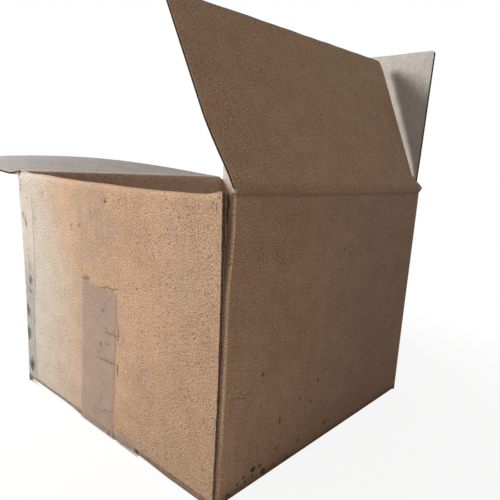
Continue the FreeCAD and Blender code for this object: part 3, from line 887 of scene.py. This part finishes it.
LEFT_DOTS = (
    (156, 89, 1.6, 1.3, 0.7, 0), (136, 110, 1.4, 1.4, 0.65, 0), (150, 114, 1.8, 1.6, 0.6, 0),
    (137, 138, 1.3, 2.2, 0.75, 0), (160, 114, 1.0, 1.0, 0.5, 0), (124, 77, 4.5, 1.6, 0.4, 0),
    (101, 38, 1.0, 1.6, 0.55, 0), (114, 36, 2.2, 2.2, 0.4, 0), (153, 14, 1.8, 1.6, 0.7, -30),
    (51, 14, 1.0, 2.0, 0.35, 0),
)
LEFT_SCUFFS = (
    (134, 32, 26, 30, 0.75, 0), (248, 60, 16, 44, 0.40, 0), (197, 148, 16, 26, 0.25, 0),
)
FRONT_DOTS = (
    (47, 125, 1.3, 1.3, 0.8, 0), (116, 149, 1.4, 1.6, 0.8, 0), (93, 158, 1.3, 1.3, 0.7, 0),
    (107, 166, 1.3, 1.3, 0.7, 0), (68.5, 169, 1.5, 2.5, 0.7, 0), (140, 44, 1.2, 1.2, 0.7, 0),
    (65, 189, 1.5, 1.3, 0.7, 0), (40, 195, 3.0, 2.2, 1.0, 0), (47, 196, 1.5, 1.5, 0.8, 0),
    (30, 197, 1.6, 1.4, 0.8, 0), (24, 199, 1.4, 1.4, 0.7, 0), (39, 200, 1.6, 1.2, 0.7, 0),
    (32, 201, 1.4, 1.4, 0.7, 0), (14, 203, 2.2, 2.0, 0.8, 0), (51, 202, 3.0, 2.6, 0.9, 0),
    (94, 195, 1.6, 1.4, 0.7, 0), (131, 194, 3.0, 2.0, 0.5, 0), (78, 206, 7, 4, 0.6, 0),
    (44, 184, 1.3, 1.0, 0.4, 0), (25, 135, 1.2, 1.0, 0.4, 0),
)


def on_left(marks):
    """Marks of the left panel, measured from its back edge, on the unfolded sheet."""
    return [(WIDTH - x * MM, FOLD - y * MM, *rest) for x, y, *rest in marks]


# Where the front panel's left edge lies on the unfolded sheet
FRONT_EDGE = run_start("front") + RIGHT - BEND - LEFT


def on_front(marks):
    """Marks of the front panel, measured from its left edge, on the unfolded sheet."""
    return [(FRONT_EDGE - x * MM, FOLD - y * MM, *rest) for x, y, *rest in marks]


# Materials

# The colour sockets of a mix node
MIX_FIRST, MIX_SECOND, MIX_RESULT = 6, 7, 2


class Nodes:
    """Short calls for building a node material."""

    def __init__(self, name):
        self.material = bpy.data.materials.new(name)
        self.material.use_nodes = True
        self.tree = self.material.node_tree
        self.shader = self.tree.nodes["Principled BSDF"]

    def put(self, socket, value):
        if isinstance(value, bpy.types.NodeSocket):
            self.tree.links.new(value, socket)
        else:
            socket.default_value = value

    def node(self, kind, output=0, **inputs):
        made = self.tree.nodes.new(kind)
        for key, value in inputs.items():
            self.put(made.inputs[key], value)
        return made.outputs[output]

    def flat(self):
        made = self.tree.nodes.new("ShaderNodeAttribute")
        made.attribute_name = "flat"
        return made.outputs["Vector"]

    def parts(self, vector):
        made = self.tree.nodes.new("ShaderNodeSeparateXYZ")
        self.put(made.inputs[0], vector)
        return made.outputs[0], made.outputs[1]

    def vector(self, operation, first, second, output=0):
        made = self.tree.nodes.new("ShaderNodeVectorMath")
        made.operation = operation
        self.put(made.inputs[0], first)
        self.put(made.inputs[1], second)
        return made.outputs[output]

    def noise(self, vector, scale, detail=3.0, rough=0.6, output=0):
        return self.node(
            "ShaderNodeTexNoise", output, Vector=vector, Scale=scale, Detail=detail, Roughness=rough
        )

    def math(self, operation, first, second=0.5):
        made = self.tree.nodes.new("ShaderNodeMath")
        made.operation = operation
        self.put(made.inputs[0], first)
        self.put(made.inputs[1], second)
        return made.outputs[0]

    def times(self, first, second):
        return self.math("MULTIPLY", first, second)

    def ramp(self, value, low, high, start=0.0, end=1.0):
        made = self.tree.nodes.new("ShaderNodeMapRange")
        made.interpolation_type = "SMOOTHSTEP"
        for socket, item in zip(made.inputs, (value, low, high, start, end)):
            self.put(socket, item)
        return made.outputs[0]

    def mix(self, factor, first, second):
        made = self.tree.nodes.new("ShaderNodeMix")
        made.data_type = "RGBA"
        self.put(made.inputs["Factor"], factor)
        self.put(made.inputs[MIX_FIRST], first)
        self.put(made.inputs[MIX_SECOND], second)
        return made.outputs[MIX_RESULT]

    def patch(self, vector, mark, soft):
        """Soft oval on the sheet, as strong as its mark says."""
        run, height, half_width, half_height, strength, turn = mark
        made = self.tree.nodes.new("ShaderNodeMapping")
        made.vector_type = "TEXTURE"
        self.put(made.inputs["Vector"], vector)
        made.inputs["Location"].default_value = (run, height, 0)
        made.inputs["Rotation"].default_value = (0, 0, math.radians(turn))
        made.inputs["Scale"].default_value = (half_width * MM, half_height * MM, 1)
        distance = self.vector("LENGTH", made.outputs[0], (0, 0, 0), 1)
        return self.ramp(distance, 1 + soft, 1 - soft, 0.0, strength)

    def marks(self, vector, marks, soft=0.4):
        """The strongest of several ovals."""
        strongest = 0.0
        for mark in marks:
            strongest = self.math("MAXIMUM", self.patch(vector, mark, soft), strongest)
        return strongest

    def wobbled(self, flat, size, amount):
        """The sheet's places moved about a little, for ragged outlines."""
        shift = self.vector("SUBTRACT", self.noise(flat, size, 2.0, 0.6, 1), (0.5, 0.5, 0.5))
        return self.vector("ADD", flat, self.vector("MULTIPLY", shift, (amount, amount, 0)))

    def finish(self, color, rough, bump, distance):
        self.put(self.shader.inputs["Base Color"], color)
        self.put(self.shader.inputs["Roughness"], rough)
        self.shader.inputs["Specular IOR Level"].default_value = 0.25
        normal = self.node("ShaderNodeBump", Height=bump, Strength=1.0, Distance=distance)
        self.put(self.shader.inputs["Normal"], normal)
        return self.material


TAN = (0.445, 0.296, 0.19, 1)
DEEP = (0.40, 0.26, 0.164, 1)
# Painted sheen: the cream that stands for the key light's sheen near the left panel's back edge
SHEEN_CREAM = (0.445, 0.415, 0.355, 1)
LOW_BROWN = (0.33, 0.225, 0.145, 1)
GREY_TAN = (0.335, 0.25, 0.18, 1)
OLIVE_TAN = (0.37, 0.285, 0.20, 1)
LIGHT_TAN = (0.62, 0.43, 0.275, 1)
# Partly rubbed paper, partly a painted highlight on the rounded glued fold
RUBBED_AND_HIGHLIGHT_TAN = (0.80, 0.55, 0.34, 1)
SCUFF = (0.31, 0.235, 0.175, 1)
SOIL = (0.11, 0.085, 0.065, 1)
# Painted shade in the crease of each fold line
FOLD_SHADE = (0.26, 0.17, 0.11, 1)
DARK_SPECK = (0.035, 0.028, 0.025, 1)
WHITE_SPECK = (0.8, 0.74, 0.65, 1)
GREY_DIRT = (0.045, 0.048, 0.045, 1)
CUT_DARK = (0.10, 0.066, 0.045, 1)
CUT_LIGHT = (0.30, 0.20, 0.13, 1)
FILM_STREAK = (0.75, 0.73, 0.74, 1)
FAINT_FILM = (0.75, 0.69, 0.60, 1)

# Plain papers and films in two colours each
# Inner paper of the walls and flaps, browner than the pale liner: partly dirt, partly painted shade of
# the box's inside
INSIDE_DIRT_AND_SHADE = ((0.47, 0.365, 0.29, 1), (0.42, 0.325, 0.257, 1))
PALE = ((0.52, 0.505, 0.47, 1), (0.48, 0.46, 0.425, 1))
# The back flap's inner liner: the pale liner made darker, as painted shade
PALE_PAINTED_SHADE = ((0.25, 0.235, 0.225, 1), (0.22, 0.205, 0.195, 1))
DULL_FILM = ((0.45, 0.345, 0.29, 1), (0.32, 0.245, 0.205, 1))
CORNER_FILM = ((0.46, 0.43, 0.40, 1), (0.20, 0.20, 0.185, 1))
FILM_ALPHA = 0.3


def paper(nodes, flat, color, grain_share, speck_share):
    """Colour and relief of plain paper with its wear, from its colour without grain."""
    run, _ = nodes.parts(flat)
    lines = nodes.math("SINE", nodes.times(run, 2 * math.pi / PITCH))
    patchy = nodes.ramp(nodes.noise(flat, 25.0, 2.0), 0.4, 0.65)
    flutes = nodes.times(nodes.ramp(lines, -1.0, 1.0, 0.0, 0.06), patchy)
    small = nodes.ramp(nodes.noise(flat, 70.0, 4.0, 0.65), 0.35, 0.65, 1.04, 0.94)
    color = nodes.vector("MULTIPLY", color, nodes.math("SUBTRACT", small, flutes))
    grain = nodes.noise(flat, 950.0, 3.0, 0.75)
    fibre = nodes.noise(nodes.vector("MULTIPLY", flat, (380.0, 1400.0, 380.0)), 1.0)
    bright, dim = 1 + 0.75 * grain_share, 1 - 0.75 * grain_share
    color = nodes.vector("MULTIPLY", color, nodes.ramp(grain, 0.36, 0.66, bright, dim))
    lit = nodes.ramp(fibre, 0.45, 0.7, 1 - 0.1 * grain_share, 1 + 0.35 * grain_share)
    color = nodes.vector("MULTIPLY", color, lit)
    color = specks(nodes, flat, color, speck_share)
    relief = nodes.math("ADD", nodes.times(grain, 0.6), nodes.times(fibre, 0.4))
    return color, grain, relief


def specks(nodes, flat, color, speck_share):
    """Dark and a few white dots in the paper, thicker in some places than in others."""
    chance = nodes.math("ADD", nodes.noise(flat, 45.0, 3.0), speck_share)
    for scale, size, low, amount, paint in (
        (230.0, 0.2, 0.60, 0.75, DARK_SPECK),
        (430.0, 0.28, 0.54, 0.75, DARK_SPECK),
        (190.0, 0.13, 0.66, 0.6, WHITE_SPECK),
    ):
        cells = nodes.node("ShaderNodeTexVoronoi", Vector=flat, Scale=scale, Randomness=1.0)
        here = nodes.ramp(chance, low, low + 0.06)
        dot = nodes.times(nodes.ramp(cells, size, 0.4 * size), here)
        color = nodes.mix(nodes.times(dot, amount), color, paint)
    return color


def kraft_base(nodes, flat, tan, deep):
    """Slow change between a paper's two colours."""
    return nodes.mix(nodes.ramp(nodes.noise(flat, 14.0), 0.35, 0.7), tan, deep)


def left_panel_color(nodes, color, away, height, here):
    """Pale cream near the back edge, which is a painted sheen of the key light, and browner low down
    near the front.
    """
    reach = nodes.ramp(height, FOLD - 0.11, FOLD, 0.15, 0.105)
    # Painted sheen of the key light, strongest at the back edge
    sheen = nodes.ramp(nodes.math("DIVIDE", away, reach), 1.0, 0.2, 0.0, 0.85)
    color = nodes.mix(nodes.times(sheen, here), color, SHEEN_CREAM)
    low = nodes.times(nodes.ramp(away, 0.14, 0.24), here)
    low = nodes.times(low, nodes.ramp(height, 0.12, 0.02, 0.0, 0.5))
    return nodes.mix(low, color, LOW_BROWN)


def front_panel_color(nodes, color, run, height):
    """Greyer away from the glued fold, and olive towards the top of the flap."""
    start = run_start("front")
    here = nodes.ramp(run, start - 0.01, start)
    from_left = nodes.math("SUBTRACT", FRONT_EDGE, run)
    for share, paint in (
        (nodes.ramp(from_left, 0.05, 0.26, 0.0, 0.75), GREY_TAN),
        (nodes.ramp(height, FOLD + 0.02, FOLD + 0.12, 0.0, 0.6), OLIVE_TAN),
        (nodes.ramp(height, FOLD, FOLD + 0.01, 0.0, 0.5), LIGHT_TAN),
    ):
        color = nodes.mix(nodes.times(share, here), color, paint)
    return color


def scuffs(nodes, flat, ragged):
    patches = nodes.marks(ragged, on_left(LEFT_SCUFFS), 0.7)
    streaks = nodes.noise(nodes.vector("MULTIPLY", flat, (90.0, 50.0, 1.0)), 1.0, 4.0)
    return nodes.times(patches, nodes.ramp(streaks, 0.3, 0.65, 0.3, 1.0))


def outside_marked():
    """The outer paper of the walls and the front flap, with what has happened to each panel, and with
    painted sheen, painted highlight and painted shade.
    """
    nodes = Nodes("kraft_outside")
    flat = nodes.flat()
    ragged = nodes.wobbled(flat, 160.0, 0.004)
    run, height = nodes.parts(flat)
    away = nodes.math("SUBTRACT", WIDTH, run)
    on_left_panel = nodes.ramp(run, WIDTH + 0.006, WIDTH)
    color = kraft_base(nodes, flat, TAN, DEEP)
    color = left_panel_color(nodes, color, away, height, on_left_panel)
    color = front_panel_color(nodes, color, run, height)
    # Painted highlight down the glued fold, partly rubbed paper
    color = nodes.mix(glued_fold_wear_and_highlight(nodes, run, height), color, RUBBED_AND_HIGHLIGHT_TAN)
    color = nodes.mix(scuffs(nodes, flat, ragged), color, SCUFF)

    share = nodes.ramp(away, 0.07, 0.19, -0.02, 0.12)
    speck_share = nodes.times(share, on_left_panel)
    color, grain, relief = paper(nodes, flat, color, 0.56, speck_share)
    color = nodes.mix(bottom_dirt(nodes, flat, height), color, SOIL)
    color = nodes.mix(smudges(nodes, flat), color, GREY_DIRT)
    marks = on_left(TAPE_CREASES + LEFT_DOTS) + on_front(FRONT_DOTS)
    color = nodes.mix(nodes.marks(ragged, marks), color, GREY_DIRT)
    # Painted shade: a dark band in the crease along the fold line
    fold_shade = nodes.ramp(height, FOLD - 0.003, FOLD, 0.0, 1.0)
    fold_shade = nodes.times(fold_shade, nodes.ramp(height, FOLD + 0.003, FOLD))
    color = nodes.mix(nodes.times(fold_shade, 0.35), color, FOLD_SHADE)
    return nodes.finish(color, nodes.ramp(grain, 0.3, 0.7, 0.82, 0.95), relief, 0.0005)


def glued_fold_wear_and_highlight(nodes, run, height):
    """Pale line down the fold behind the cut edge: partly rubbed paper, partly a painted highlight on
    the rounded fold.
    """
    middle = run_start("glued") - 0.0001
    distance = nodes.math("ABSOLUTE", nodes.math("SUBTRACT", run, middle))
    line = nodes.ramp(distance, 0.0022, 0.0, 0.0, 0.95)
    return nodes.times(line, nodes.ramp(height, 0.03, 0.07, 0.35, 1.0))


def smudges(nodes, flat):
    """Patchy dirt rubbed into the left back corner."""
    torn = nodes.wobbled(flat, 260.0, 0.013)
    patches = nodes.marks(torn, on_left(CORNER_SMUDGES), 0.5)
    broken = nodes.ramp(nodes.noise(flat, 420.0, 3.0, 0.7), 0.36, 0.54, 0.55, 1.0)
    return nodes.times(patches, broken)


def bottom_dirt(nodes, flat, height):
    """Dirt that the box picked up from where it stood."""
    rough = nodes.noise(flat, 120.0, 4.0, 0.7)
    band = nodes.ramp(nodes.math("ADD", height, nodes.times(rough, -0.016)), 0.004, -0.006)
    haze = nodes.ramp(height, 0.05, 0.0, 0.0, 0.25)
    return nodes.math("MAXIMUM", nodes.times(band, 0.75), nodes.times(haze, rough))


def plain_paper(name, colors, grain_share=0.4, speck_share=-0.02):
    nodes = Nodes(name)
    flat = nodes.flat()
    base = kraft_base(nodes, flat, *colors)
    color, grain, relief = paper(nodes, flat, base, grain_share, speck_share)
    return nodes.finish(color, nodes.ramp(grain, 0.3, 0.7, 0.82, 0.95), relief, 0.0004)


def cut_paper():
    """Torn and cut paper in the edges of the board."""
    nodes = Nodes("cut_paper")
    grain = nodes.noise(nodes.flat(), 500.0, 4.0, 0.75)
    color = nodes.mix(nodes.ramp(grain, 0.35, 0.65), CUT_DARK, CUT_LIGHT)
    return nodes.finish(color, 0.95, grain, 0.0004)


def film(name, colors, faint_above):
    """Semi-clear packing tape with the dirt that sticks to it, hard to see above a height."""
    nodes = Nodes(name)
    flat = nodes.flat()
    ragged = nodes.wobbled(flat, 160.0, 0.004)
    haze = nodes.ramp(nodes.noise(flat, 90.0, 4.0, 0.7), 0.4, 0.7)
    tint = nodes.mix(nodes.times(haze, 0.35), *colors)
    streaks = nodes.noise(nodes.vector("MULTIPLY", flat, (500.0, 120.0, 1.0)), 1.0)
    tint = nodes.mix(nodes.ramp(streaks, 0.5, 0.75, 0.0, 0.15), tint, FILM_STREAK)
    _, height = nodes.parts(flat)
    faint = nodes.ramp(height, faint_above, faint_above + 0.05)
    tint = nodes.mix(faint, tint, FAINT_FILM)
    tint = nodes.mix(smudges(nodes, flat), tint, GREY_DIRT)
    tint = nodes.mix(nodes.marks(ragged, on_left(TAPE_CREASES)), tint, GREY_DIRT)
    nodes.shader.inputs["Alpha"].default_value = FILM_ALPHA
    made = nodes.finish(tint, nodes.ramp(haze, 0.0, 1.0, 0.5, 0.75), streaks, 0.0003)
    nodes.shader.inputs["Specular IOR Level"].default_value = 0.35
    return made


# Stage, light and camera

CAMERA_PLACE = Vector((-0.326973, -0.330425, 0.222608))
CAMERA_RIGHT = Vector((0.669812, -0.741004, 0.047594))
CAMERA_UP = Vector((0.130738, 0.180787, 0.974794))
CAMERA_FOCUS_PIXELS = 473.73
PICTURE = 500
CENTRE_Y_PIXELS = 275.9
SENSOR = 36.0


def make_camera():
    data = bpy.data.cameras.new("view")
    data.sensor_width = SENSOR
    data.sensor_fit = "HORIZONTAL"
    data.lens = CAMERA_FOCUS_PIXELS / PICTURE * SENSOR
    data.shift_y = (CENTRE_Y_PIXELS - PICTURE / 2) / PICTURE
    data.clip_start = 0.01
    view = bpy.data.objects.new("view", data)
    back = CAMERA_RIGHT.cross(CAMERA_UP)
    axes = Matrix((CAMERA_RIGHT, CAMERA_UP, back)).transposed()
    view.matrix_world = Matrix.Translation(CAMERA_PLACE) @ axes.to_4x4()
    bpy.context.scene.collection.objects.link(view)
    bpy.context.scene.camera = view


SKY_COLOR = (1.0, 0.83, 0.77, 1)
SKY_STRENGTH = 0.265


def make_world():
    """White for the camera and for reflections, a dim soft sky for the object."""
    world = bpy.data.worlds.new("studio")
    bpy.context.scene.world = world
    world.use_nodes = True
    tree = world.node_tree
    sky = tree.nodes["Background"]
    sky.inputs["Color"].default_value = SKY_COLOR
    sky.inputs["Strength"].default_value = SKY_STRENGTH
    white = tree.nodes.new("ShaderNodeBackground")
    white.inputs["Color"].default_value = (1, 1, 1, 1)
    path = tree.nodes.new("ShaderNodeLightPath")
    seen = path.outputs["Is Camera Ray"]
    for name in ("Is Glossy Ray", "Is Transmission Ray"):
        more = tree.nodes.new("ShaderNodeMath")
        more.operation = "MAXIMUM"
        tree.links.new(seen, more.inputs[0])
        tree.links.new(path.outputs[name], more.inputs[1])
        seen = more.outputs[0]
    mix = tree.nodes.new("ShaderNodeMixShader")
    tree.links.new(seen, mix.inputs[0])
    tree.links.new(sky.outputs[0], mix.inputs[1])
    tree.links.new(white.outputs[0], mix.inputs[2])
    tree.links.new(mix.outputs[0], tree.nodes["World Output"].inputs["Surface"])


# Each light: name, place, size, power and colour
LIGHTS = (
    ("key", (-0.56, 0.77, 0.79), 0.4, 19.5, (1.0, 0.985, 0.96)),
    ("fill", (-1.0, 0.25, 0.45), 0.7, 1.2, (1.0, 0.96, 0.92)),
)
LIGHT_TARGET = Vector((0.0, 0.0, 0.18))


def make_lights():
    for name, place, size, power, color in LIGHTS:
        light = bpy.data.lights.new(name, "AREA")
        light.shape = "SQUARE"
        light.size = size
        light.energy = power
        light.color = color
        lamp = bpy.data.objects.new(name, light)
        lamp.location = place
        lamp.rotation_euler = (LIGHT_TARGET - Vector(place)).to_track_quat("-Z", "Y").to_euler()
        bpy.context.scene.collection.objects.link(lamp)


FLOOR_HALF = 4.0
FLOOR_LEVEL = -0.0006

# How much of the floor's white shows near the box, and between which distances it reaches all
FLOOR_GLOW_NEAR = 0.9
FLOOR_GLOW_RANGE = (0.2, 0.5)


def make_floor():
    """Pale floor that shows the box's shadow near it and fades into the white backdrop."""
    mesh = bpy.data.meshes.new("floor")
    corners = [(-1, -1), (1, -1), (1, 1), (-1, 1)]
    mesh.from_pydata([(x * FLOOR_HALF, y * FLOOR_HALF, 0.0) for x, y in corners], [], [(0, 1, 2, 3)])
    floor = bpy.data.objects.new("floor", mesh)
    bpy.context.scene.collection.objects.link(floor)
    floor.location.z = FLOOR_LEVEL
    nodes = Nodes("pale_floor")
    nodes.shader.inputs["Base Color"].default_value = (0.8, 0.8, 0.8, 1)
    nodes.shader.inputs["Roughness"].default_value = 0.9
    place = nodes.node("ShaderNodeTexCoord", "Object")
    distance = nodes.vector("LENGTH", place, (0, 0, 0), 1)
    glow = nodes.ramp(distance, *FLOOR_GLOW_RANGE, FLOOR_GLOW_NEAR, 1.0)
    seen = nodes.node("ShaderNodeLightPath", "Is Camera Ray")
    white = nodes.node("ShaderNodeEmission", Color=(1, 1, 1, 1), Strength=1.0)
    mix = nodes.tree.nodes.new("ShaderNodeMixShader")
    nodes.put(mix.inputs[0], nodes.times(glow, seen))
    nodes.put(mix.inputs[1], nodes.shader.outputs[0])
    nodes.put(mix.inputs[2], white)
    nodes.put(nodes.tree.nodes["Material Output"].inputs["Surface"], mix.outputs[0])
    mesh.materials.append(nodes.material)


def main():
    bpy.context.scene.view_settings.view_transform = "Standard"
    make_camera()
    make_world()
    make_lights()
    make_floor()
    marked = outside_marked()
    outside = plain_paper("kraft_plain", (TAN, DEEP))
    # Inner paper, browner for dirt and for painted shade
    inside = plain_paper("kraft_inside_dirt_and_shade", INSIDE_DIRT_AND_SHADE)
    pale = plain_paper("liner_pale", PALE, 0.2, -0.08)
    # Back flap's inner liner, darkened as painted shade
    shaded_liner = plain_paper("liner_painted_shade", PALE_PAINTED_SHADE, 0.25, -0.06)
    cut = cut_paper()
    plain = [outside, inside, cut]
    make_walls([marked, inside, cut])
    make_flaps([marked, inside, cut], plain, [outside, pale, cut], [outside, shaded_liner, cut])
    make_left_flap([marked, inside, cut])
    make_tapes(film("film", DULL_FILM, 0.3), film("corner_film", CORNER_FILM, 0.10))


main()
